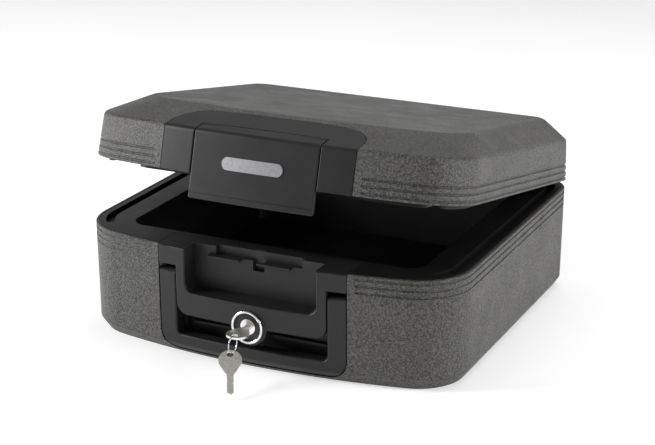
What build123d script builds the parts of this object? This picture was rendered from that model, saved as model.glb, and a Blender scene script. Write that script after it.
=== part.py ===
from build123d import *
import math
import os

# Fireproof document box: a moulded chest with a hinged lid, a latch flap, a carrying handle
# and a key lock with two keys. Millimetres. X right, -Y front, +Z up.
# The origin is under the centre of the base, on the surface that the box stands on.
# The lid is shown a little open, as it stands when someone looks in.

# Driving dimensions of the plan outline
HALF_WIDTH = 195.5
FRONT_Y = -178.3
REAR_Y = 178.3
BULGE_RADIUS = 738.0
FRONT_CORNER = 54.0
REAR_CORNER = 30.0

# Base
BASE_HEIGHT = 107.5
SHELL_WALL = 3.0
BASE_DRAFT = 1.0
FOOT_BAND = 10.0
FOOT_INSET = 6.6
FOOT_RADIUS = 3.0
RIM_EDGE_RADIUS = 1.2
FLANGE_THICK = 6.0
OPENING_HALF_WIDTH = 152.0
OPENING_FRONT_Y = -132.0
OPENING_REAR_Y = 132.0
OPENING_CORNER = 15.0
TUB_FLOOR_Z = 37.0
TUB_DRAFT = 12.0
OPENING_EDGE_RADIUS = 1.5
LINER_WALL = 2.5
SEAL_INSET = 14.1
SEAL_CHANNEL_WIDTH = 9.2
SEAL_CHANNEL_DEPTH = 4.5
SEAL_DROP = 4.4

# Grooves round both shells
GROOVE_RADIUS = 1.2
GROOVE_OFFSETS = (3.6, 10.0, 16.4)
GROOVE_FRONT_X = 106.0

# Lid
LID_GAP = 1.0
LID_WALL = 41.7
LID_DRAFT = 3.6
SLOPE_RISE = 16.8
CREASE_RADIUS = 5.0
PLATEAU_EDGE_RADIUS = 12.0
LID_EDGE_RADIUS = 1.0
PLATEAU_HALF_WIDTH = 168.6
PLATEAU_FRONT_Y = -113.9
PLATEAU_REAR_Y = 159.4
PLATEAU_FRONT_CORNER = 46.0
PLATEAU_REAR_CORNER = 22.0
PLATEAU_TILT = 0.73
LID_DISH_DEPTH = 25.0
LID_FLANGE = 3.0
LID_LIP_DEPTH = 8.0
LID_LIP_CLEARANCE = 2.5
LID_OPEN_ANGLE = 11.4
HINGE_Y = 185.3
HINGE_Z = 98.6
LID_BOTTOM = BASE_HEIGHT + LID_GAP
CREASE_Z = LID_BOTTOM + LID_WALL

# Front bezel, latch pocket and finger recess
TRIM_HALF_WIDTH = 98.0
TRIM_GAP = 0.5
BEZEL_REAR_Y = -146.0
BEZEL_FLANGE_Y = -138.7
BEZEL_BOTTOM_Z = 3.2
BEZEL_CORNER = 19.0
POCKET_HALF_WIDTH = 68.0
POCKET_BOTTOM_Z = 64.0
POCKET_BACK_Y = -154.5
POCKET_CORNER = 9.0
CATCH_HALF_WIDTH = 45.0
CATCH_FLOOR_Z = 98.8
CATCH_BACK_Y = -149.5
RIB_WIDTH = 34.0
RIB_CENTRE_X = 26.0
RIB_SHIFT_X = -8.8
RIB_FRONT_Y = -160.4
RIB_BOTTOM_Z = 96.8
RIB_EDGE_RADIUS = 0.8
PANEL_HALF_WIDTH = 78.0
PANEL_BOTTOM_Z = 41.0
PANEL_EDGE_RADIUS = 1.0
POCKET_EDGE_RADIUS = 1.5
CHANNEL_TOP_Z = 89.0
CHANNEL_BACK_Y = -157.0
RECESS_BACK_Y = -150.5

# Handle
HANDLE_HALF_WIDTH = 97.4
HANDLE_ARM_WIDTH = 18.8
HANDLE_TOP_Z = 84.0
HANDLE_BOTTOM_Z = 4.4
HANDLE_BAR_HEIGHT = 15.6
HANDLE_THICK = 13.0
HANDLE_CORNER = 18.0
HANDLE_EDGE_RADIUS = 2.0
HANDLE_PIVOT_Y = -166.6
HANDLE_PIVOT_Z = 76.0
HANDLE_PIN_RADIUS = 2.5

# Lock
LOCK_Z = 42.3
BOSS_RADIUS = 19.0
RING_OUTER = 16.25
RING_INNER = 13.85
PLUG_FACE_Y = -178.3
PLUG_HEAD_RADIUS = 7.6
PLUG_RADIUS = 6.2
TAIL_RADIUS = 3.0
BARREL_RADIUS = 9.4
CAM_PIN_REACH = 9.0
BOLT_FRONT_Y = -152.7
BOLT_THICK = 3.0
BOLT_TOP_Z = 86.8
RUNNING_GAP = 0.05

# Keys
KEY_THICK = 2.0
KEY_BOW_RADIUS = 10.8
KEY_HOLE_RADIUS = 3.2
KEY_HOLE_OFFSET = 6.5
KEY_BLADE_WIDTH = 6.5
KEY_BLADE_LENGTH = 22.5
KEY_NECK_LENGTH = 14.0
KEY_BOW_Y = -197.5
RING_WIRE_RADIUS = 0.6
KEY_RING_RADIUS = 8.0
KEY_RING_AZIMUTH = -90.0
SPARE_LEAN_AZIMUTH = -62.0
SPARE_LEAN_ANGLE = 34.0
SPARE_HOLD_ANGLE = 50.0

# Latch flap
FLAP_HALF_WIDTH = 63.8
FLAP_THICK = 4.0
FLAP_DROP = 22.5
FLAP_GAP = 0.8
FLAP_PIVOT_Y = -157.5
FLAP_PIVOT_Z = 151.7
FLAP_BARREL_RADIUS = 3.0
FLAP_PIN_RADIUS = 1.5
FLAP_POCKET_DEPTH = 9.8
TRIM_BLOCK_DEPTH = 13.0
TRIM_TOP_Y = -123.0
TRIM_TOP_CORNER = 34.0
TRIM_EDGE_RADIUS = 0.7
TRIM_MOUTH_RADIUS = 1.0
FLAP_EDGE_RADIUS = 1.5

# Hinges
HINGE_X = 105.0
HINGE_WIDTH = 50.0
KNUCKLE_RADIUS = 5.5
KNUCKLE_MIDDLE = 20.0
HINGE_PIN_RADIUS = 2.5


def block(x_range, y_range, z_range):
    """An axis-aligned box from its three ranges."""
    sizes = [high - low for low, high in (x_range, y_range, z_range)]
    centre = [(high + low) / 2 for low, high in (x_range, y_range, z_range)]
    return Pos(*centre) * Box(*sizes)


def rod(radius, y_low, y_high, x=0.0, z=0.0):
    """A cylinder along Y."""
    return Pos(x, (y_low + y_high) / 2, z) * Rot(X=90) * Cylinder(radius, y_high - y_low)


def cross_rod(radius, x_low, x_high, y, z):
    """A cylinder along X."""
    return Pos((x_low + x_high) / 2, y, z) * Rot(Y=90) * Cylinder(radius, x_high - x_low)


def upright_rod(radius, z_low, z_high, x, y):
    """A cylinder along Z."""
    return Pos(x, y, (z_low + z_high) / 2) * Cylinder(radius, z_high - z_low)


def front_prism(width, z_low, z_high, corner, y_low, y_high):
    """A prism along Y whose front view is a rectangle with two rounded bottom corners."""
    height = z_high - z_low + corner
    face = Rot(X=90) * RectangleRounded(width, height, corner)
    solid = extrude(Pos(0, y_high, z_low + height / 2) * face, amount=y_high - y_low)
    return solid & block((-width, width), (y_low - 1, y_high + 1), (z_low - 1, z_high))


def corner_centre(half_width, front_y, bulge, corner):
    """Centre of the round front corner that meets the bulged front smoothly."""
    across = half_width - corner
    return across, front_y + bulge - math.sqrt((bulge - corner) ** 2 - across ** 2)


def arc_point(centre, radius, degrees):
    """The point of a circle at an angle from +X."""
    angle = math.radians(degrees)
    return centre[0] + radius * math.cos(angle), centre[1] + radius * math.sin(angle)


def half_outline(half_width, front_y, rear_y, bulge, front_corner, rear_corner):
    """Right half of a plan outline: bulged front, round corners, straight side and rear."""
    centre = corner_centre(half_width, front_y, bulge, front_corner)
    bulge_centre = (0.0, front_y + bulge)
    slant = math.degrees(math.atan2(centre[1] - bulge_centre[1], centre[0]))
    rear_centre = (half_width - rear_corner, rear_y - rear_corner)
    front_end = arc_point(bulge_centre, bulge, slant)
    side_start = (half_width, centre[1])
    side_end = (half_width, rear_centre[1])
    rear_start = (rear_centre[0], rear_y)
    corner_arc = ThreePointArc(front_end, arc_point(centre, front_corner, slant / 2), side_start)
    side = Line(side_start, side_end)
    rear_arc = ThreePointArc(side_end, arc_point(rear_centre, rear_corner, 45), rear_start)
    return front_end, rear_start, [corner_arc, side, rear_arc]


def plan_face(half_width, front_y, rear_y, bulge, front_corner, rear_corner):
    """The whole plan outline as a face at Z = 0."""
    sizes = (half_width, front_y, rear_y, bulge, front_corner, rear_corner)
    front_end, rear_start, right = half_outline(*sizes)
    left = [edge.mirror(Plane.YZ) for edge in right]
    front = ThreePointArc((-front_end[0], front_end[1]), (0, front_y), front_end)
    rear = Line(rear_start, (-rear_start[0], rear_start[1]))
    return Face(Wire([front] + right + [rear] + left))


def body_face(inset):
    """The box's plan outline, moved inward by an even inset."""
    return plan_face(
        HALF_WIDTH - inset, FRONT_Y + inset, REAR_Y - inset,
        BULGE_RADIUS - inset, FRONT_CORNER - inset, REAR_CORNER - inset,
    )


def stack(sections):
    """A solid through plan faces placed one above the other, with straight walls between."""
    solid = None
    for low, high in zip(sections[:-1], sections[1:]):
        layer = Solid.make_loft([low.outer_wire(), high.outer_wire()], ruled=True)
        solid = layer if solid is None else solid + layer
    return solid


def soften(solid, z_low, z_high, radius):
    """Round the edges that lie wholly between two heights."""
    def between(edge):
        box = edge.bounding_box()
        return box.min.Z > z_low and box.max.Z < z_high
    return fillet(solid.edges().filter_by(between), radius)


def skin_edges(solid, core, wanted):
    """Edges on a solid's outer skin, outside a smaller core, whose middle point is wanted."""
    middles = [(edge, edge @ 0.5) for edge in solid.edges()]
    return [edge for edge, point in middles if wanted(point) and not core.is_inside(point)]


def base_form(offset, top=BASE_HEIGHT):
    """The base's outer form, moved inward by an offset."""
    sections = (
        (offset, BASE_DRAFT + FOOT_INSET + 0.5 * offset),
        (FOOT_BAND + 0.4 * offset, BASE_DRAFT + offset),
        (top, offset),
    )
    form = stack([Pos(0, 0, z) * body_face(inset) for z, inset in sections])
    crease_z = sections[1][0]
    return soften(form, crease_z - 0.1, crease_z + 0.1, FOOT_RADIUS)


def lid_form(offset, bottom=LID_BOTTOM):
    """The lid's outer form when shut, moved inward by an offset."""
    low_inset = LID_DRAFT * (bottom - LID_BOTTOM) / LID_WALL + offset
    shrink = 0.3 * offset
    plateau = plan_face(
        PLATEAU_HALF_WIDTH - shrink, PLATEAU_FRONT_Y + shrink, PLATEAU_REAR_Y - shrink,
        BULGE_RADIUS, PLATEAU_FRONT_CORNER - shrink, PLATEAU_REAR_CORNER - shrink,
    )
    lift = -PLATEAU_FRONT_Y * math.tan(math.radians(PLATEAU_TILT))
    top = CREASE_Z + SLOPE_RISE + lift - offset
    crease_z = CREASE_Z - 0.6 * offset
    sections = [
        Pos(0, 0, bottom) * body_face(low_inset),
        Pos(0, 0, crease_z) * body_face(LID_DRAFT + offset),
        Pos(0, 0, top) * Rot(X=PLATEAU_TILT) * plateau,
    ]
    form = soften(stack(sections), crease_z - 0.1, crease_z + 0.1, CREASE_RADIUS)
    edge_radius = max(PLATEAU_EDGE_RADIUS - 0.7 * offset, 2.0)
    return soften(form, crease_z + SLOPE_RISE / 2, top + 10, edge_radius)


def base_inside():
    """The space inside the base's outer wall."""
    return base_form(SHELL_WALL, top=BASE_HEIGHT + 1)


def lid_inside(offset=SHELL_WALL):
    """The space inside the lid's outer wall, or deeper inside by an offset."""
    return lid_form(offset, bottom=LID_BOTTOM - 1)


def tub_section(grow, z):
    """The liner opening's rounded rectangle, grown by an amount and drafted towards the floor."""
    draft = TUB_DRAFT * (BASE_HEIGHT - z) / (BASE_HEIGHT - TUB_FLOOR_Z)
    width = 2 * (OPENING_HALF_WIDTH - draft + grow)
    depth = OPENING_REAR_Y - OPENING_FRONT_Y - 2 * draft + 2 * grow
    middle = (OPENING_REAR_Y + OPENING_FRONT_Y) / 2
    corner = OPENING_CORNER - 0.5 * draft + grow
    return Pos(0, middle, z) * RectangleRounded(width, depth, corner).face()


def tub_form(grow, floor, top):
    """A drafted tub-shaped solid between two heights."""
    return stack([tub_section(grow, floor), tub_section(grow, top)])


def rim_path(inset, z, front_x=None, corner_angle=None):
    """An open line round the box's sides and rear, from one front end to the other."""
    sizes = (
        HALF_WIDTH - inset, FRONT_Y + inset, REAR_Y - inset,
        BULGE_RADIUS - inset, FRONT_CORNER - inset, REAR_CORNER - inset,
    )
    front_end, rear_start, right = half_outline(*sizes)
    if front_x is None:
        centre = corner_centre(sizes[0], sizes[1], sizes[3], sizes[4])
        start = arc_point(centre, sizes[4], corner_angle)
        middle = arc_point(centre, sizes[4], corner_angle / 2)
        right[0] = ThreePointArc(start, middle, (sizes[0], centre[1]))
    else:
        angles = [math.degrees(math.asin(x / sizes[3])) - 90 for x in (front_x, front_end[0])]
        bulge_centre = (0.0, sizes[1] + sizes[3])
        start = arc_point(bulge_centre, sizes[3], angles[0])
        middle = arc_point(bulge_centre, sizes[3], sum(angles) / 2)
        right.insert(0, ThreePointArc(start, middle, front_end))
    left = [edge.mirror(Plane.YZ) for edge in right]
    rear = Line(rear_start, (-rear_start[0], rear_start[1]))
    return Pos(0, 0, z) * Wire(right + [rear] + left), start


def grooves(levels):
    """Thin round-ended grooves at several (height, inset) levels, as cutting solids."""
    cutters = []
    for z, inset in levels:
        path, start = rim_path(inset, z, front_x=GROOVE_FRONT_X)
        profile = Plane(origin=path @ 0, z_dir=path % 0) * Circle(GROOVE_RADIUS)
        cutters.append(sweep(profile, path=path))
        for side in (-1, 1):
            cutters.append(Pos(side * start[0], start[1], z) * Sphere(GROOVE_RADIUS))
    return cutters


def seal_strip(width, z_low, z_high):
    """The seal's strip round the sides and rear, with round ends."""
    path, start = rim_path(SEAL_INSET, (z_low + z_high) / 2, corner_angle=-40.0)
    frame = Plane(origin=path @ 0, x_dir=(0, 0, 1), z_dir=path % 0)
    strip = sweep(frame * Rectangle(z_high - z_low, width), path=path)
    for side in (-1, 1):
        strip += upright_rod(width / 2, z_low, z_high, side * start[0], start[1])
    return strip


def bezel_opening(gap):
    """The space in the base's front that the bezel fills, grown by a gap."""
    half = TRIM_HALF_WIDTH - TRIM_GAP + gap
    bottom = BEZEL_BOTTOM_Z - gap
    body = front_prism(
        2 * half, bottom, BASE_HEIGHT + 1, BEZEL_CORNER + gap, FRONT_Y - 5, BEZEL_REAR_Y + gap
    )
    flange_z = BASE_HEIGHT - FLANGE_THICK
    flange = block((-half, half), (FRONT_Y - 5, BEZEL_FLANGE_Y), (flange_z, BASE_HEIGHT + 1))
    return body + flange


def bezel_screw_places():
    """Centres of the three screws that hold the bezel from below."""
    return [(x, (CHANNEL_BACK_Y + BEZEL_REAR_Y) / 2) for x in (-60.0, 0.0, 60.0)]


def upright_screw(x, y, head_z, head_radius, head_height, shank_radius, length, up=1):
    """A pan-head screw whose shank points up (up=1) or down (up=-1) from its head."""
    head_end = head_z + up * head_height
    tip = head_end + up * length
    head = upright_rod(head_radius, min(head_z, head_end), max(head_z, head_end), x, y)
    shank = upright_rod(shank_radius, min(head_end, tip), max(head_end, tip), x, y)
    slot_low = min(head_z, head_z + up * 0.6)
    slot = block((x - 0.4, x + 0.4), (y - head_radius, y + head_radius), (slot_low, slot_low + 0.6))
    return head + shank - slot


def base_outer_shell():
    outer = soften(base_form(0), BASE_HEIGHT - 0.1, BASE_HEIGHT + 0.1, RIM_EDGE_RADIUS)
    shell = outer - base_inside() - bezel_opening(TRIM_GAP)
    levels = [(BASE_HEIGHT - drop, BASE_DRAFT * drop / BASE_HEIGHT) for drop in GROOVE_OFFSETS]
    for cutter in grooves(levels):
        shell -= cutter
    for x, y in bezel_screw_places():
        shell -= upright_rod(4.3, -1, 2.0, x, y)
        shell -= upright_rod(2.3, -1, 6.0, x, y)
    return shell - hinge_screw_holes(base_hinge_screw_places())


def base_insulation():
    top = BASE_HEIGHT - FLANGE_THICK
    fill = base_inside() - block((-300, 300), (-300, 300), (top, 200))
    fill -= tub_form(LINER_WALL, TUB_FLOOR_Z - LINER_WALL, BASE_HEIGHT + 1)
    return fill - bezel_opening(TRIM_GAP) - hinge_screw_holes(base_hinge_screw_places())


def is_opening_edge(edge):
    """Whether an edge runs round the top of the opening."""
    box = edge.bounding_box()
    level = box.min.Z > BASE_HEIGHT - 0.1
    return level and box.max.X < OPENING_HALF_WIDTH + 2 and box.min.X > -OPENING_HALF_WIDTH - 2


def base_inner_liner():
    flange_z = (BASE_HEIGHT - FLANGE_THICK, BASE_HEIGHT)
    flange = base_inside() & block((-300, 300), (-300, 300), flange_z)
    liner = flange + tub_form(LINER_WALL, TUB_FLOOR_Z - LINER_WALL, BASE_HEIGHT)
    liner -= tub_form(0, TUB_FLOOR_Z, BASE_HEIGHT + 1)
    inner_edges = [edge for edge in liner.edges() if is_opening_edge(edge)]
    liner = fillet(inner_edges, OPENING_EDGE_RADIUS) - bezel_opening(TRIM_GAP)
    depth = BASE_HEIGHT - SEAL_CHANNEL_DEPTH
    return liner - seal_strip(SEAL_CHANNEL_WIDTH, depth, BASE_HEIGHT + 1)


def bezel_panel(y_high):
    """The raised panel between the handle's arms, with the round lock boss below it."""
    panel = front_prism(
        2 * PANEL_HALF_WIDTH, PANEL_BOTTOM_Z, BASE_HEIGHT + 1, 12.0, FRONT_Y - 5, y_high
    )
    return panel + rod(BOSS_RADIUS, FRONT_Y - 5, y_high, z=LOCK_Z)


def front_bezel():
    bezel = base_form(0) & bezel_opening(0)
    channel = block((-110, 110), (FRONT_Y - 5, CHANNEL_BACK_Y), (0, CHANNEL_TOP_Z))
    bezel -= channel - bezel_panel(CHANNEL_BACK_Y + 1)
    core = base_form(1, top=BASE_HEIGHT + 1)
    panel_edges = skin_edges(bezel, core, lambda point: abs(point.X) < 90 and 20 < point.Z < 100)
    bezel = fillet(panel_edges, PANEL_EDGE_RADIUS)
    recess = front_prism(2 * (PANEL_HALF_WIDTH - 2), 13, 39, 6, CHANNEL_BACK_Y - 1, RECESS_BACK_Y)
    ledge = block((-70, 70), (CHANNEL_BACK_Y + 1.5, RECESS_BACK_Y + 1), (26, 28.5))
    bezel -= recess - rod(BOSS_RADIUS, FRONT_Y, BEZEL_REAR_Y, z=LOCK_Z) - ledge
    pocket = front_prism(
        2 * POCKET_HALF_WIDTH, POCKET_BOTTOM_Z, BASE_HEIGHT + 1, POCKET_CORNER, FRONT_Y - 5, POCKET_BACK_Y
    )
    bezel -= pocket
    mouth_edges = skin_edges(bezel, core, lambda point: abs(point.X) < 90 and point.Z > 60)
    bezel = fillet(mouth_edges, POCKET_EDGE_RADIUS)
    catch_x = (-CATCH_HALF_WIDTH, CATCH_HALF_WIDTH)
    bezel -= block(catch_x, (POCKET_BACK_Y - 1, CATCH_BACK_Y), (CATCH_FLOOR_Z, BASE_HEIGHT + 1))
    for side in (-1, 1):
        bezel += catch_rib(side * RIB_CENTRE_X + RIB_SHIFT_X)
        ends = sorted((side * 70, side * 80))
        bezel -= cross_rod(HANDLE_PIN_RADIUS + RUNNING_GAP, ends[0], ends[1], HANDLE_PIVOT_Y, HANDLE_PIVOT_Z)
    bezel -= block((-6, 6), (POCKET_BACK_Y - 1, BOLT_FRONT_Y), (89, CATCH_FLOOR_Z + 1))
    bezel += block((-5.5, 5.5), (CATCH_BACK_Y + 1, CATCH_BACK_Y + 5), (BASE_HEIGHT - 1, BASE_HEIGHT + 0.6))
    bezel -= lock_cavities()
    for x, y in bezel_screw_places():
        bezel -= upright_rod(2.0, 0, 15.0, x, y)
    return bezel


def catch_rib(middle):
    """A rib on the pocket's back wall that a latch finger hooks under."""
    x_range = (middle - RIB_WIDTH / 2, middle + RIB_WIDTH / 2)
    rib = block(x_range, (RIB_FRONT_Y, POCKET_BACK_Y + 1), (RIB_BOTTOM_Z, CATCH_FLOOR_Z))
    return fillet(rib.edges().filter_by(Axis.X).group_by(Axis.Y)[0], RIB_EDGE_RADIUS)


def lock_cavities():
    """Bores and the rear cavity that hold the lock and its bolt in the bezel."""
    cavity = rod(RING_OUTER + 0.1, FRONT_Y - 5, -176.8, z=LOCK_Z)
    cavity += rod(BARREL_RADIUS + 0.1, -178, -160, z=LOCK_Z)
    cavity += rod(15.0, -161, BEZEL_REAR_Y + 1, z=LOCK_Z)
    slide_front = BOLT_FRONT_Y - 0.5
    cavity += block((-5.5, 13.3), (slide_front, BEZEL_REAR_Y + 1), (28, 67))
    cavity += block((-5.5, 5.5), (slide_front, BOLT_FRONT_Y + BOLT_THICK + 0.5), (60, CATCH_FLOOR_Z + 1))
    return cavity


def bezel_screws():
    screws = [upright_screw(x, y, 0.4, 4.0, 1.6, 2.0, 12.0) for x, y in bezel_screw_places()]
    return Compound(screws)


def lock_bezel_ring():
    ring = rod(RING_OUTER, -180.8, -176.8, z=LOCK_Z) - rod(RING_INNER, -182, -176, z=LOCK_Z)
    return fillet(ring.edges().filter_by(GeomType.CIRCLE).group_by(Axis.Y)[0], 1.0)


def lock_body():
    body = rod(BARREL_RADIUS, -177.6, -156.5, z=LOCK_Z) + rod(13.7, -177.6, -176.8, z=LOCK_Z)
    body -= rod(PLUG_HEAD_RADIUS + RUNNING_GAP, -180, -172.9, z=LOCK_Z)
    return body - rod(PLUG_RADIUS + RUNNING_GAP, -175, -156, z=LOCK_Z)


def lock_nut():
    nut = Pos(0, -157, LOCK_Z) * Rot(X=90) * extrude(RegularPolygon(13.0, 6), amount=4.0)
    nut &= rod(12.6, -162, -156, z=LOCK_Z)
    return nut - rod(BARREL_RADIUS, -162, -156, z=LOCK_Z)


def wafer_places():
    return [-170.6 + 2.4 * step for step in range(5)]


def lock_plug():
    plug = rod(PLUG_HEAD_RADIUS, PLUG_FACE_Y, -173, z=LOCK_Z)
    plug += rod(PLUG_RADIUS, -174, -157.5, z=LOCK_Z)
    plug += rod(TAIL_RADIUS, -158, -147.4, z=LOCK_Z)
    plug -= block((-3.5, 3.5), (-180, -160.4), (LOCK_Z - 1.15, LOCK_Z + 1.15))
    for y in wafer_places():
        plug -= block((-5.4, 5.4), (y - 0.7, y + 0.7), (LOCK_Z - 2.85, LOCK_Z + 2.85))
    return plug - rod(1.2, -154, -146, z=LOCK_Z)


def lock_wafers():
    wafers = []
    for y in wafer_places():
        plate = block((-5.2, 5.2), (y - 0.5, y + 0.5), (LOCK_Z - 2.7, LOCK_Z + 2.7))
        wafers.append(plate - block((-3.6, 3.6), (y - 2, y + 2), (LOCK_Z - 1.2, LOCK_Z + 1.2)))
    return Compound(wafers)


def cam_pin_place():
    """The cam pin starts 45 degrees below the horizontal, so a quarter turn lifts it evenly."""
    half = CAM_PIN_REACH * math.sin(math.radians(45))
    return half, LOCK_Z - half


def lock_cam():
    x, z = cam_pin_place()
    cam = rod(6.0, -149.2, -147.4, z=LOCK_Z) + rod(3.0, -149.2, -147.4, x=x, z=z)
    cam += rod(4.0, -149.2, -147.4, x=0.6 * x, z=LOCK_Z - 0.6 * x)
    cam += rod(1.5, -152.4, -148.0, x=x, z=z)
    return cam - rod(TAIL_RADIUS, -150, -147, z=LOCK_Z)


def cam_screw():
    screw = rod(4.0, -147.4, -146.2, z=LOCK_Z) + rod(1.2, -154, -147, z=LOCK_Z)
    return screw - block((-4, 4), (-146.8, -146.0), (LOCK_Z - 0.5, LOCK_Z + 0.5))


def lock_bolt():
    x, z = cam_pin_place()
    y_range = (BOLT_FRONT_Y, BOLT_FRONT_Y + BOLT_THICK)
    bolt = block((-5, 5), y_range, (48, BOLT_TOP_Z)) + block((3.5, 12.8), y_range, (z - 4, 52))
    bolt = bolt - rod(3.6, -160, -140, z=LOCK_Z) - rod(4.2, -160, -140, z=48.2)
    return bolt - block((4.7, 10.8), (-160, -140), (z - 2.0, z + 2.0))


def key_blank():
    """A flat key: bow centre at the origin, hole towards +Y, blade towards -Y."""
    neck_end = -KEY_NECK_LENGTH
    tip = neck_end - KEY_BLADE_LENGTH
    half = KEY_BLADE_WIDTH / 2
    bow = Circle(KEY_BOW_RADIUS)
    shoulder = make_face(Polyline((-9.9, -4.2), (9.9, -4.2), (4.4, neck_end), (-4.4, neck_end), close=True))
    root = neck_end + 1
    blade = make_face(
        Polyline((-half, root), (half, root), (half, tip + 3), (0.8, tip), (-half, tip + 2.5), close=True)
    )
    outline = bow + shoulder + blade - Pos(0, KEY_HOLE_OFFSET) * Circle(KEY_HOLE_RADIUS)
    for step, depth in enumerate((1.2, 0.6, 1.5, 0.9, 1.3)):
        y = neck_end - 4.2 - 3.2 * step
        right_cut = Polyline((half + 1, y + 1.6), (half - depth, y), (half + 1, y - 1.6), close=True)
        left_x = -half + 1.4 - depth * 0.5
        left_cut = Polyline((-half - 1, y + 0.8), (left_x, y - 0.8), (-half - 1, y - 2.4), close=True)
        outline -= make_face(right_cut)
        outline -= make_face(left_cut)
    key = extrude(outline, amount=KEY_THICK / 2, both=True)
    for side in (-1, 1):
        groove_x = 0.9 * side
        z_low = min(side * 0.45, side * 2.0)
        key -= block((groove_x - 0.6, groove_x + 0.6), (tip - 1, neck_end), (z_low, z_low + 1.55))
    return key


def inserted_key():
    return Pos(0, KEY_BOW_Y, LOCK_Z) * Rot(Z=180) * key_blank()


def direction(azimuth, slope=0.0):
    """A unit direction from its plan angle and its slope below the horizontal."""
    plan, drop = math.radians(azimuth), math.radians(slope)
    return Vector(math.cos(plan) * math.cos(drop), math.sin(plan) * math.cos(drop), -math.sin(drop))


def key_ring_centre():
    """The ring hangs over the strip of bow between the hole and the key's edge."""
    hole = Vector(0, KEY_BOW_Y - KEY_HOLE_OFFSET, LOCK_Z)
    along = direction(KEY_RING_AZIMUTH)
    down = -KEY_HOLE_OFFSET * math.sin(math.radians(KEY_RING_AZIMUTH))
    edge = -down + math.sqrt(down ** 2 + KEY_BOW_RADIUS ** 2 - KEY_HOLE_OFFSET ** 2)
    web_half = (edge - KEY_HOLE_RADIUS) / 2
    inner = KEY_RING_RADIUS - RING_WIRE_RADIUS
    lift = math.sqrt(inner ** 2 - (web_half + 0.3) ** 2) - 0.3
    middle = hole + along * ((edge + KEY_HOLE_RADIUS) / 2)
    return Vector(middle.X, middle.Y, LOCK_Z + KEY_THICK / 2 - lift)


def key_ring():
    normal = direction(KEY_RING_AZIMUTH + 90)
    frame = Plane(origin=key_ring_centre(), x_dir=direction(KEY_RING_AZIMUTH), z_dir=normal)
    return frame * Torus(KEY_RING_RADIUS, RING_WIRE_RADIUS)


def spare_key_hold():
    """The point of the ring that the spare key hangs from."""
    return key_ring_centre() + direction(KEY_RING_AZIMUTH, SPARE_HOLD_ANGLE) * KEY_RING_RADIUS


def spare_key():
    lean = direction(SPARE_LEAN_AZIMUTH, SPARE_LEAN_ANGLE)
    across = direction(SPARE_LEAN_AZIMUTH + 90)
    normal = across.cross(lean * -1)
    inner_edge = KEY_HOLE_RADIUS - RING_WIRE_RADIUS - 0.4
    origin = spare_key_hold() + lean * (KEY_HOLE_OFFSET + inner_edge)
    return Plane(origin=origin, x_dir=across, z_dir=normal) * key_blank()


def carry_handle():
    inner_half = HANDLE_HALF_WIDTH - HANDLE_ARM_WIDTH
    bar_top = HANDLE_BOTTOM_Z + HANDLE_BAR_HEIGHT
    outer = front_prism(2 * HANDLE_HALF_WIDTH, HANDLE_BOTTOM_Z, HANDLE_TOP_Z, HANDLE_CORNER, -190, -150)
    inner = front_prism(2 * inner_half, bar_top, HANDLE_TOP_Z + 5, 5.0, -195, -145)
    behind = extrude(body_face(HANDLE_THICK), amount=BASE_HEIGHT + 1)
    handle = ((outer - inner) & base_form(0)) - behind
    handle = fillet(skin_edges(handle, base_form(1), lambda point: True), HANDLE_EDGE_RADIUS)
    above = block((-120, 120), (-200, -140), (HANDLE_PIVOT_Z, 95))
    round_top = cross_rod(HANDLE_TOP_Z - HANDLE_PIVOT_Z, -120, 120, HANDLE_PIVOT_Y, HANDLE_PIVOT_Z)
    handle -= above - round_top
    for side in (-1, 1):
        ends = sorted((side * 75, side * 92))
        handle -= cross_rod(HANDLE_PIN_RADIUS, ends[0], ends[1], HANDLE_PIVOT_Y, HANDLE_PIVOT_Z)
    return handle


def handle_pivot_pins():
    pins = []
    for side in (-1, 1):
        ends = sorted((side * 70.6, side * 92))
        pins.append(cross_rod(HANDLE_PIN_RADIUS, ends[0], ends[1], HANDLE_PIVOT_Y, HANDLE_PIVOT_Z))
    return Compound(pins)


def trim_region(gap):
    """Seen from above, the lid's front area that the smooth trim covers."""
    half = TRIM_HALF_WIDTH + gap
    depth = 120.0
    corner = TRIM_TOP_CORNER + gap
    face = Pos(0, TRIM_TOP_Y + gap - depth / 2) * RectangleRounded(2 * half, depth, corner)
    return extrude(Pos(0, 0, 60) * face, amount=130)


def flap_region(gap):
    """Space for the flap in the lid's front, open below and at the front."""
    half = FLAP_HALF_WIDTH + gap
    return block((-half, half), (-220, FLAP_PIVOT_Y), (60, 200))


def barrel(radius, half_width):
    return cross_rod(radius, -half_width, half_width, FLAP_PIVOT_Y, FLAP_PIVOT_Z)


def lid_outer_shell():
    outer = soften(lid_form(0), LID_BOTTOM - 0.1, LID_BOTTOM + 0.1, LID_EDGE_RADIUS)
    shell = outer - lid_inside() - trim_region(TRIM_GAP)
    draft = LID_DRAFT / LID_WALL
    for cutter in grooves([(LID_BOTTOM + rise, draft * rise) for rise in GROOVE_OFFSETS]):
        shell -= cutter
    return shell - hinge_screw_holes(lid_hinge_screw_places())


def flap_pocket():
    """The hollow in the lid's front that the flap swings in."""
    hollow = lid_form(-1, bottom=LID_BOTTOM - 5) - lid_form(FLAP_POCKET_DEPTH, bottom=LID_BOTTOM - 6)
    return hollow & flap_region(FLAP_GAP)


def lid_flange():
    """The liner's flat edge under the lid, which runs under the trim block too."""
    flange_z = (LID_BOTTOM, LID_BOTTOM + LID_FLANGE)
    flange = lid_inside(SHELL_WALL + 2) & block((-300, 300), (-300, 300), flange_z)
    flange -= flap_pocket()
    for x, y in trim_screw_places():
        flange -= upright_rod(3.6, LID_BOTTOM - 1, LID_BOTTOM + 2, x, y)
        flange -= upright_rod(1.7, LID_BOTTOM - 1, LID_BOTTOM + 4, x, y)
    return flange


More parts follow.
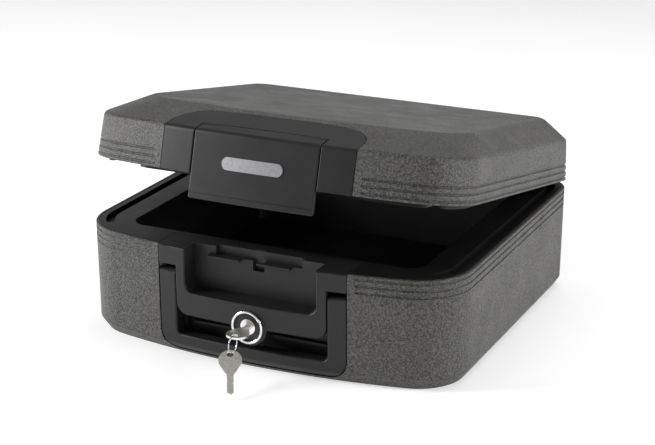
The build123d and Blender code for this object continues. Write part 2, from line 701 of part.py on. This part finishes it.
def dish_form(grow, z_low, z_high):
    """The lid liner's dish, a shrunken copy of the base's opening."""
    half = OPENING_HALF_WIDTH - LID_LIP_CLEARANCE - LINER_WALL + grow
    depth = OPENING_REAR_Y - OPENING_FRONT_Y - 2 * (LID_LIP_CLEARANCE + LINER_WALL) + 2 * grow
    middle = (OPENING_REAR_Y + OPENING_FRONT_Y) / 2
    corner = OPENING_CORNER - LID_LIP_CLEARANCE - LINER_WALL + grow
    low = Pos(0, middle, z_low) * RectangleRounded(2 * half, depth, corner).face()
    high = Pos(0, middle, z_high) * RectangleRounded(2 * half - 10, depth - 10, corner - 4).face()
    return stack([low, high])


def lid_inner_liner():
    low = LID_BOTTOM - LID_LIP_DEPTH
    top = LID_BOTTOM + LID_DISH_DEPTH
    liner = lid_flange() + dish_form(LINER_WALL, low, top + LINER_WALL)
    liner -= dish_form(0, low - 0.01, top)
    return liner - seal_strip(6.0, LID_BOTTOM - 1, LID_BOTTOM + 1.5)


def lid_insulation():
    fill = lid_inside() - block((-300, 300), (-300, 300), (0, LID_BOTTOM + LID_FLANGE))
    fill -= dish_form(LINER_WALL, LID_BOTTOM - LID_LIP_DEPTH, LID_BOTTOM + LID_DISH_DEPTH + LINER_WALL)
    fill -= trim_region(TRIM_GAP) - lid_inside(TRIM_BLOCK_DEPTH + 0.2)
    return fill - hinge_screw_holes(lid_hinge_screw_places())


def trim_screw_places():
    return [(side * 82.0, -164.0) for side in (-1, 1)]


def is_trim_mouth(point):
    """Whether a point lies on the sides or the top of the opening that the flap fills."""
    return abs(point.X) < 70 and point.Y < -150 and (abs(point.X) > 60 or point.Y > -160)


def lid_trim_panel():
    trim = lid_form(0) & trim_region(0)
    core = lid_form(1, bottom=LID_BOTTOM - 5)
    rim_edges = skin_edges(
        trim, core, lambda point: abs(point.X) > 60 or point.Z < LID_BOTTOM + 0.5 or point.Y > -140
    )
    trim = fillet(rim_edges, TRIM_EDGE_RADIUS) - lid_inside(TRIM_BLOCK_DEPTH) - flap_pocket()
    mouth_edges = skin_edges(trim, core, is_trim_mouth)
    trim = fillet(mouth_edges, TRIM_MOUTH_RADIUS)
    trim -= barrel(FLAP_BARREL_RADIUS + 0.4, FLAP_HALF_WIDTH + FLAP_GAP)
    trim -= barrel(FLAP_PIN_RADIUS, FLAP_HALF_WIDTH + 7)
    trim -= lid_flange()
    for x, y in trim_screw_places():
        trim -= upright_rod(1.7, LID_BOTTOM, LID_BOTTOM + 13, x, y)
        trim -= upright_rod(3.6, LID_BOTTOM - 1, LID_BOTTOM + 2, x, y)
    return trim


def lid_trim_screws():
    screws = [upright_screw(x, y, LID_BOTTOM + 0.4, 3.5, 1.6, 1.7, 9.0) for x, y in trim_screw_places()]
    return Compound(screws)


def lid_gasket():
    return seal_strip(6.0, LID_BOTTOM - SEAL_DROP, LID_BOTTOM + 1.5)


def flap_hinge_pin():
    return barrel(FLAP_PIN_RADIUS, FLAP_HALF_WIDTH + 6)


def latch_flap():
    bottom = LID_BOTTOM - FLAP_DROP
    slab = lid_form(0, bottom=bottom) - lid_form(FLAP_THICK, bottom=bottom)
    flap = slab & flap_region(0)
    core = lid_form(FLAP_THICK - 0.5, bottom=bottom - 1)
    outer_edges = skin_edges(
        flap, core, lambda point: abs(point.X) > 60 or point.Z < bottom + 1 or point.Y > -160
    )
    flap = fillet(outer_edges, FLAP_EDGE_RADIUS)
    flap += barrel(FLAP_BARREL_RADIUS, FLAP_HALF_WIDTH)
    flap -= barrel(FLAP_PIN_RADIUS + RUNNING_GAP, FLAP_HALF_WIDTH + 1)
    groove = lid_form(-1, bottom=bottom) - lid_form(0.7, bottom=bottom - 1)
    return flap - (groove & block((-80, 80), (-200, -160), (bottom + 5.6, bottom + 6.4)))


def badge_plate():
    """A blank oval-ended plate on the flap."""
    face = Rot(X=90) * RectangleRounded(62, 12, 5.9)
    plate = extrude(Pos(0, -160, LID_BOTTOM + 14) * face, amount=30)
    return plate & (lid_form(-0.8) - lid_form(0))


def hook_screw_places():
    return [(side * 4.5 + RIB_SHIFT_X, 97.5) for side in (-1, 1)]


def latch_hook_plate():
    inside = lid_form(FLAP_THICK, bottom=LID_BOTTOM - FLAP_DROP)
    plate = block((-53, 44), (-180, -171.0), (91.5, 103)) & inside
    for side in (-1, 1):
        middle = side * RIB_CENTRE_X + RIB_SHIFT_X
        plate += block((middle - 15.5, middle + 15.5), (-172.5, -162.6), (92.4, 95.8))
    for x, z in hook_screw_places():
        plate -= rod(1.5, -180, -165, x=x, z=z)
    return plate


def hook_plate_screws():
    screws = []
    for x, z in hook_screw_places():
        screws.append(rod(1.5, -174.6, -171.0, x=x, z=z) + rod(2.8, -171.0, -169.6, x=x, z=z))
    return Compound(screws)


def hinge_centres():
    return (-HINGE_X, HINGE_X)


def knuckle(x_low, x_high, radius=KNUCKLE_RADIUS):
    return cross_rod(radius, x_low, x_high, HINGE_Y, HINGE_Z)


def wall_screw(x, y_wall, z):
    """A screw with its head proud of a leaf on the rear wall."""
    screw = rod(3.2, y_wall, y_wall + 1.6, x=x, z=z) + rod(1.7, y_wall - 9, y_wall + 0.5, x=x, z=z)
    return screw - block((x - 0.4, x + 0.4), (y_wall + 1.0, y_wall + 2), (z - 4, z + 4))


def hinge_screw_places(z):
    return [(x + side * 17, REAR_Y + 2.6, z) for x in hinge_centres() for side in (-1, 1)]


def base_hinge_screw_places():
    return hinge_screw_places(75.0)


def lid_hinge_screw_places():
    return hinge_screw_places(LID_BOTTOM + 19)


def hinge_screw_holes(places):
    """Holes for hinge screws through the rear wall and into the fill."""
    return [rod(1.7, y - 9, y + 1, x=x, z=z) for x, y, z in places]


def base_hinge_leaves():
    leaves = []
    half = HINGE_WIDTH / 2
    arm = KNUCKLE_MIDDLE / 2 - 0.3
    for x in hinge_centres():
        leaf = block((x - half, x + half), (REAR_Y, REAR_Y + 2.6), (66, 90))
        leaf += block((x - arm, x + arm), (REAR_Y, HINGE_Y), (80, HINGE_Z))
        leaf += knuckle(x - arm, x + arm)
        leaf -= knuckle(x - half, x + half, HINGE_PIN_RADIUS + RUNNING_GAP)
        leaves.append(leaf - hinge_screw_holes(base_hinge_screw_places()))
    return Compound(leaves)


def base_hinge_screws():
    return Compound([wall_screw(*place) for place in base_hinge_screw_places()])


def lid_hinge_leaves():
    leaves = []
    half = HINGE_WIDTH / 2
    arm = KNUCKLE_MIDDLE / 2 + 0.3
    for x in hinge_centres():
        leaf = block((x - half, x + half), (REAR_Y, REAR_Y + 2.6), (LID_BOTTOM + 1, LID_BOTTOM + 27))
        for side in (-1, 1):
            ends = sorted((x + side * arm, x + side * half))
            leaf += block(ends, (HINGE_Y - 4.6, HINGE_Y + KNUCKLE_RADIUS), (HINGE_Z, LID_BOTTOM + 6))
            leaf += knuckle(*ends)
        leaf -= knuckle(x - half, x + half, HINGE_PIN_RADIUS)
        leaves.append(leaf - hinge_screw_holes(lid_hinge_screw_places()))
    return Compound(leaves)


def lid_hinge_screws():
    return Compound([wall_screw(*place) for place in lid_hinge_screw_places()])


def hinge_pins():
    half = HINGE_WIDTH / 2
    return Compound([knuckle(x - half, x + half, HINGE_PIN_RADIUS) for x in hinge_centres()])


def opened(shape):
    """Turn a shut-lid piece about the hinge to the angle at which the lid stands."""
    return shape.rotate(Axis((0, HINGE_Y, HINGE_Z), (1, 0, 0)), -LID_OPEN_ANGLE)


FIXED_PIECES = (
    base_outer_shell, base_insulation, base_inner_liner, front_bezel, bezel_screws,
    lock_bezel_ring, lock_body, lock_nut, lock_plug, lock_wafers, lock_cam, cam_screw, lock_bolt,
    inserted_key, key_ring, spare_key, carry_handle, handle_pivot_pins,
    base_hinge_leaves, base_hinge_screws,
)
LID_PIECES = (
    lid_outer_shell, lid_insulation, lid_inner_liner, lid_trim_panel, lid_trim_screws, lid_gasket,
    flap_hinge_pin, latch_flap, badge_plate, latch_hook_plate, hook_plate_screws,
    lid_hinge_leaves, lid_hinge_screws, hinge_pins,
)

os.makedirs("parts", exist_ok=True)
for piece in FIXED_PIECES:
    export_step(piece(), f"parts/{piece.__name__}.step")
for piece in LID_PIECES:
    export_step(opened(piece()), f"parts/{piece.__name__}.step")
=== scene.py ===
import math

import bpy
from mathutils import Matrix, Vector


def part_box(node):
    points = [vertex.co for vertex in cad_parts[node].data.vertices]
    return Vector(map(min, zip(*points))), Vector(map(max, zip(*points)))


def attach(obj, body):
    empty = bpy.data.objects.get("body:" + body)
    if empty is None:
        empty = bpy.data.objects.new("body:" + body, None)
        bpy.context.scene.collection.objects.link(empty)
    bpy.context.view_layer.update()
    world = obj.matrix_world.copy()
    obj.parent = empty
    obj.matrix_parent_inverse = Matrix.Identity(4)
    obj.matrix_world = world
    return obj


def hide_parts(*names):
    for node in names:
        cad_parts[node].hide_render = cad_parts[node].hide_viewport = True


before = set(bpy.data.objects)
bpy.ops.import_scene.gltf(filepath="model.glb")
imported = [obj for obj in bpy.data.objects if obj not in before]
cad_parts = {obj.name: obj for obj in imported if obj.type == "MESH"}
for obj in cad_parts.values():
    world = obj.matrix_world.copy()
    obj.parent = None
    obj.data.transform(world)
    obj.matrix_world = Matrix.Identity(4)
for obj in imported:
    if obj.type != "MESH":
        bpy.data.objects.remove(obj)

# Looks for the fireproof document box: materials, a split key ring, a pale floor, soft studio
# light and the camera. Metres. X right, -Y front, +Z up.

# Camera: plan angle from the front towards the right, height angle, distance and aim point
CAMERA_AZIMUTH = 25.34
CAMERA_ELEVATION = 19.16
CAMERA_DISTANCE = 1.7498
CAMERA_TARGET = (-0.0026, 0.0, 0.0884)
CAMERA_LENS = 95.65
SENSOR_WIDTH = 36.0

# The smooth mouldings reflect a little less than bare plastic, through their fine surface
SATIN_SPECULAR = 0.32

# A little glow keeps the floor pale far from the lamps
FLOOR_GLOW = 0.30

FLOOR_REACH = 14.0

# Split key ring: two turns of spring wire side by side. Wire is its radius. Start is the angle
# of the free end in radians, and crossing is the share of the wire that steps across on each side.
RING_RADIUS = 0.0080
RING_WIRE = 0.00030
RING_STEPS = 96
RING_START = 0.5
RING_CROSSING = 0.06


def material(name):
    """A new node material; returns it with its node tree and its main shader."""
    made = bpy.data.materials.new(name)
    made.use_nodes = True
    return made, made.node_tree, made.node_tree.nodes["Principled BSDF"]


def node(tree, kind, **values):
    """A node of a kind, with attributes set by name and inputs set by in_NAME."""
    made = tree.nodes.new(kind)
    for key, value in values.items():
        if key.startswith("in_"):
            made.inputs[key[3:].replace("_", " ")].default_value = value
        else:
            setattr(made, key, value)
    return made


def object_coords(tree):
    return node(tree, "ShaderNodeTexCoord").outputs["Object"]


def noise(tree, coords, scale, detail=2.0, roughness=0.5):
    made = node(tree, "ShaderNodeTexNoise", in_Scale=scale, in_Detail=detail, in_Roughness=roughness)
    tree.links.new(coords, made.inputs["Vector"])
    return made.outputs["Fac"]


def cells(tree, coords, scale, smoothness=0.6):
    made = node(tree, "ShaderNodeTexVoronoi", feature="SMOOTH_F1", in_Scale=scale)
    made.inputs["Smoothness"].default_value = smoothness
    tree.links.new(coords, made.inputs["Vector"])
    return made.outputs["Distance"]


def ramp(tree, factor, low, high, start, end):
    """A colour blend between two colours as a factor goes from start to end."""
    made = node(tree, "ShaderNodeValToRGB")
    made.color_ramp.elements[0].position = start
    made.color_ramp.elements[0].color = (*low, 1.0)
    made.color_ramp.elements[1].position = end
    made.color_ramp.elements[1].color = (*high, 1.0)
    tree.links.new(factor, made.inputs["Fac"])
    return made.outputs["Color"]


def spread(tree, factor, low, high, start=0.3, end=0.7):
    """A number that goes from low to high as a factor goes from start to end."""
    made = node(tree, "ShaderNodeMapRange")
    made.inputs["From Min"].default_value = start
    made.inputs["From Max"].default_value = end
    made.inputs["To Min"].default_value = low
    made.inputs["To Max"].default_value = high
    tree.links.new(factor, made.inputs["Value"])
    return made.outputs["Result"]


def combine(tree, operation, first, second):
    """A math node on two outputs, or on an output and a number."""
    made = node(tree, "ShaderNodeMath", operation=operation)
    tree.links.new(first, made.inputs[0])
    if isinstance(second, float):
        made.inputs[1].default_value = second
    else:
        tree.links.new(second, made.inputs[1])
    return made.outputs["Value"]


def bump(tree, shader, height, distance, strength):
    made = node(tree, "ShaderNodeBump", in_Strength=strength, in_Distance=distance)
    tree.links.new(height, made.inputs["Height"])
    tree.links.new(made.outputs["Normal"], shader.inputs["Normal"])


def pebbled(name, dark, light, roughness, strength):
    """Moulded plastic with a pebble grain; the grain tops are painted lighter, a painted glint standing in for
    the light they catch.
    """
    made, tree, shader = material(name)
    coords = object_coords(tree)
    grain = noise(tree, coords, 520.0, detail=4.0, roughness=0.7)
    pebble = cells(tree, coords, 600.0, smoothness=0.35)
    height = combine(tree, "SUBTRACT", grain, combine(tree, "MULTIPLY", pebble, 0.45))
    bump(tree, shader, height, 0.0011, strength)
    # Painted glints: the raised grain tops get the lighter colour, standing in for light caught on them
    tree.links.new(ramp(tree, height, dark, light, 0.16, 0.46), shader.inputs["Base Color"])
    rough = spread(tree, noise(tree, coords, 30.0, detail=4.0), roughness - 0.06, roughness + 0.06)
    tree.links.new(rough, shader.inputs["Roughness"])
    return made


def satin(name, colour, light, roughness, grain_scale=1500.0, strength=0.08):
    """Smooth moulded plastic with a faint bloom and a very fine surface."""
    made, tree, shader = material(name)
    shader.inputs["Specular IOR Level"].default_value = SATIN_SPECULAR
    coords = object_coords(tree)
    cloud = noise(tree, coords, 28.0, detail=5.0, roughness=0.6)
    tree.links.new(ramp(tree, cloud, colour, light, 0.3, 0.75), shader.inputs["Base Color"])
    fine = noise(tree, coords, grain_scale, detail=2.0)
    bump(tree, shader, fine, 0.00015, strength)
    rough = spread(tree, cloud, roughness - 0.04, roughness + 0.06)
    tree.links.new(rough, shader.inputs["Roughness"])
    return made


def metal(name, colour, dark, roughness, scratch=0.12):
    """Plated metal with faint rubbing marks."""
    made, tree, shader = material(name)
    shader.inputs["Metallic"].default_value = 1.0
    coords = object_coords(tree)
    marks = noise(tree, coords, 380.0, detail=4.0, roughness=0.7)
    tree.links.new(ramp(tree, marks, dark, colour, 0.3, 0.55), shader.inputs["Base Color"])
    tree.links.new(spread(tree, marks, roughness + 0.08, roughness), shader.inputs["Roughness"])
    bump(tree, shader, noise(tree, coords, 900.0, detail=3.0), 0.00005, scratch)
    return made


def mineral(name):
    """Cast insulation with small pores."""
    made, tree, shader = material(name)
    coords = object_coords(tree)
    sand = noise(tree, coords, 260.0, detail=6.0, roughness=0.7)
    pores = cells(tree, coords, 190.0, smoothness=0.2)
    low, high = (0.36, 0.34, 0.31), (0.55, 0.53, 0.49)
    tree.links.new(ramp(tree, sand, low, high, 0.3, 0.7), shader.inputs["Base Color"])
    bump(tree, shader, combine(tree, "ADD", sand, pores), 0.0008, 0.5)
    shader.inputs["Roughness"].default_value = 0.95
    return made


def rubber(name):
    made, tree, shader = material(name)
    coords = object_coords(tree)
    fine = noise(tree, coords, 800.0, detail=3.0)
    tree.links.new(ramp(tree, fine, (0.008,) * 3, (0.016,) * 3, 0.3, 0.7), shader.inputs["Base Color"])
    bump(tree, shader, fine, 0.0002, 0.2)
    shader.inputs["Roughness"].default_value = 0.75
    return made


def paint(names, made):
    """Give CAD nodes or pieces one material."""
    for name in names:
        data = bpy.data.objects[name].data
        data.materials.clear()
        data.materials.append(made)


def area_light(name, place, size, power, aim=(0.0, 0.0, 0.08)):
    light = bpy.data.lights.new(name, "AREA")
    light.shape = "RECTANGLE"
    light.size, light.size_y = size
    light.energy = power
    lamp = bpy.data.objects.new(name, light)
    bpy.context.scene.collection.objects.link(lamp)
    lamp.location = place
    lamp.rotation_euler = (Vector(aim) - Vector(place)).to_track_quat("-Z", "Y").to_euler()


def add_camera():
    azimuth, elevation = math.radians(CAMERA_AZIMUTH), math.radians(CAMERA_ELEVATION)
    flat = CAMERA_DISTANCE * math.cos(elevation)
    target = Vector(CAMERA_TARGET)
    height = CAMERA_DISTANCE * math.sin(elevation)
    offset = Vector((flat * math.sin(azimuth), -flat * math.cos(azimuth), height))
    data = bpy.data.cameras.new("camera")
    data.sensor_width = SENSOR_WIDTH
    data.lens = CAMERA_LENS
    data.clip_end = 100.0
    camera = bpy.data.objects.new("camera", data)
    bpy.context.scene.collection.objects.link(camera)
    camera.location = target + offset
    camera.rotation_euler = (-offset).to_track_quat("-Z", "Y").to_euler()
    bpy.context.scene.camera = camera


def add_floor():
    mesh = bpy.data.meshes.new("floor")
    corners = [(FLOOR_REACH * x, FLOOR_REACH * y, 0) for x, y in ((-1, -1), (1, -1), (1, 1), (-1, 1))]
    mesh.from_pydata(corners, [], [(0, 1, 2, 3)])
    floor = bpy.data.objects.new("floor", mesh)
    bpy.context.scene.collection.objects.link(floor)
    made, tree, shader = material("pale_floor")
    cloud = noise(tree, object_coords(tree), 3.0, detail=2.0)
    tree.links.new(ramp(tree, cloud, (0.86, 0.86, 0.86), (0.9, 0.9, 0.9), 0.3, 0.7), shader.inputs["Base Color"])
    shader.inputs["Roughness"].default_value = 0.85
    shader.inputs["Emission Color"].default_value = (1.0, 1.0, 1.0, 1.0)
    shader.inputs["Emission Strength"].default_value = FLOOR_GLOW
    mesh.materials.append(made)


def add_world():
    world = bpy.data.worlds.new("studio")
    bpy.context.scene.world = world
    world.use_nodes = True
    tree = world.node_tree
    background = tree.nodes["Background"]
    direction = node(tree, "ShaderNodeTexCoord").outputs["Generated"]
    split = node(tree, "ShaderNodeSeparateXYZ")
    tree.links.new(direction, split.inputs["Vector"])
    sky = ramp(tree, split.outputs["Z"], (1.0, 1.0, 1.0), (0.24, 0.24, 0.24), 0.02, 0.4)
    tree.links.new(sky, background.inputs["Color"])
    background.inputs["Strength"].default_value = 1.0


def add_lights():
    area_light("soft_top", (0.2, 0.7, 1.8), (1.4, 1.0), 10.0)
    area_light("soft_left", (-1.7, -0.9, 0.8), (0.7, 1.0), 44.0)
    area_light("soft_right", (1.9, 0.1, 0.8), (0.9, 1.1), 28.0)


def split_ring():
    """The keys' ring as two turns of round spring wire lying side by side."""
    low, high = (Vector(corner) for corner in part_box("key_ring"))
    centre = (low + high) / 2
    curve = bpy.data.curves.new("ring_wire", "CURVE")
    curve.dimensions = "3D"
    curve.bevel_depth = RING_WIRE
    curve.bevel_resolution = 4
    curve.use_fill_caps = True
    spline = curve.splines.new("POLY")
    spline.points.add(RING_STEPS)
    side = RING_WIRE * 1.04
    for step, point in enumerate(spline.points):
        turn = step / RING_STEPS
        angle = 4 * math.pi * turn + RING_START
        shift = side * max(-1.0, min(1.0, (turn - 0.5) / RING_CROSSING))
        offset = Vector((shift, RING_RADIUS * math.cos(angle), RING_RADIUS * math.sin(angle)))
        point.co = (*(centre + offset), 1.0)
    wire = bpy.data.objects.new("ring_wire", curve)
    bpy.context.scene.collection.objects.link(wire)
    bpy.context.view_layer.update()
    mesh = bpy.data.meshes.new_from_object(wire.evaluated_get(bpy.context.evaluated_depsgraph_get()))
    bpy.data.objects.remove(wire)
    mesh.shade_smooth()
    ring = bpy.data.objects.new("split_key_ring", mesh)
    bpy.context.scene.collection.objects.link(ring)
    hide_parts("key_ring")
    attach(ring, "ring")


SHELLS = ("base_outer_shell", "lid_outer_shell")
SMOOTH_FRONT = ("front_bezel", "carry_handle", "lid_trim_panel", "latch_flap")
LINERS = ("base_inner_liner", "lid_inner_liner")
STEEL = (
    "bezel_screws", "lid_trim_screws", "hook_plate_screws", "base_hinge_screws", "lid_hinge_screws",
    "handle_pivot_pins", "flap_hinge_pin", "hinge_pins", "cam_screw", "lock_nut", "latch_hook_plate",
)
DARK_METAL = ("base_hinge_leaves", "lid_hinge_leaves")
LOCK_METAL = ("lock_bezel_ring", "lock_plug", "lock_wafers", "lock_cam", "lock_bolt")

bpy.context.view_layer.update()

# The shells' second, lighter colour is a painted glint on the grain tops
paint(SHELLS, pebbled("pebbled_charcoal_painted_glints", (0.016, 0.0155, 0.015), (0.098, 0.095, 0.089), 0.45, 0.75))
paint(SMOOTH_FRONT, satin("satin_charcoal", (0.0105, 0.0105, 0.0107), (0.0138, 0.0138, 0.0140), 0.42))
paint(LINERS, satin("liner_black", (0.0055, 0.0055, 0.0055), (0.009, 0.009, 0.009), 0.40))
paint(STEEL, metal("zinc_steel", (0.50, 0.50, 0.51), (0.30, 0.30, 0.31), 0.36))
paint(DARK_METAL, metal("dark_steel", (0.12, 0.12, 0.125), (0.07, 0.07, 0.07), 0.42))
paint(LOCK_METAL, metal("chrome_plate", (0.80, 0.80, 0.81), (0.60, 0.60, 0.62), 0.14, 0.05))
paint(("lock_body",), metal("blackened_metal", (0.05, 0.05, 0.052), (0.03, 0.03, 0.03), 0.35))
split_ring()
paint(("split_key_ring",), metal("spring_steel", (0.66, 0.66, 0.67), (0.45, 0.45, 0.46), 0.18))
paint(("inserted_key", "spare_key"), metal("nickel_silver", (0.86, 0.84, 0.79), (0.62, 0.60, 0.56), 0.36))
paint(("badge_plate",), metal("satin_badge", (0.34, 0.34, 0.35), (0.25, 0.25, 0.26), 0.38))
paint(("base_insulation", "lid_insulation"), mineral("cast_insulation"))
paint(("lid_gasket",), rubber("seal_rubber"))

add_camera()
add_floor()
add_world()
add_lights()
bpy.context.scene.view_settings.view_transform = "Standard"
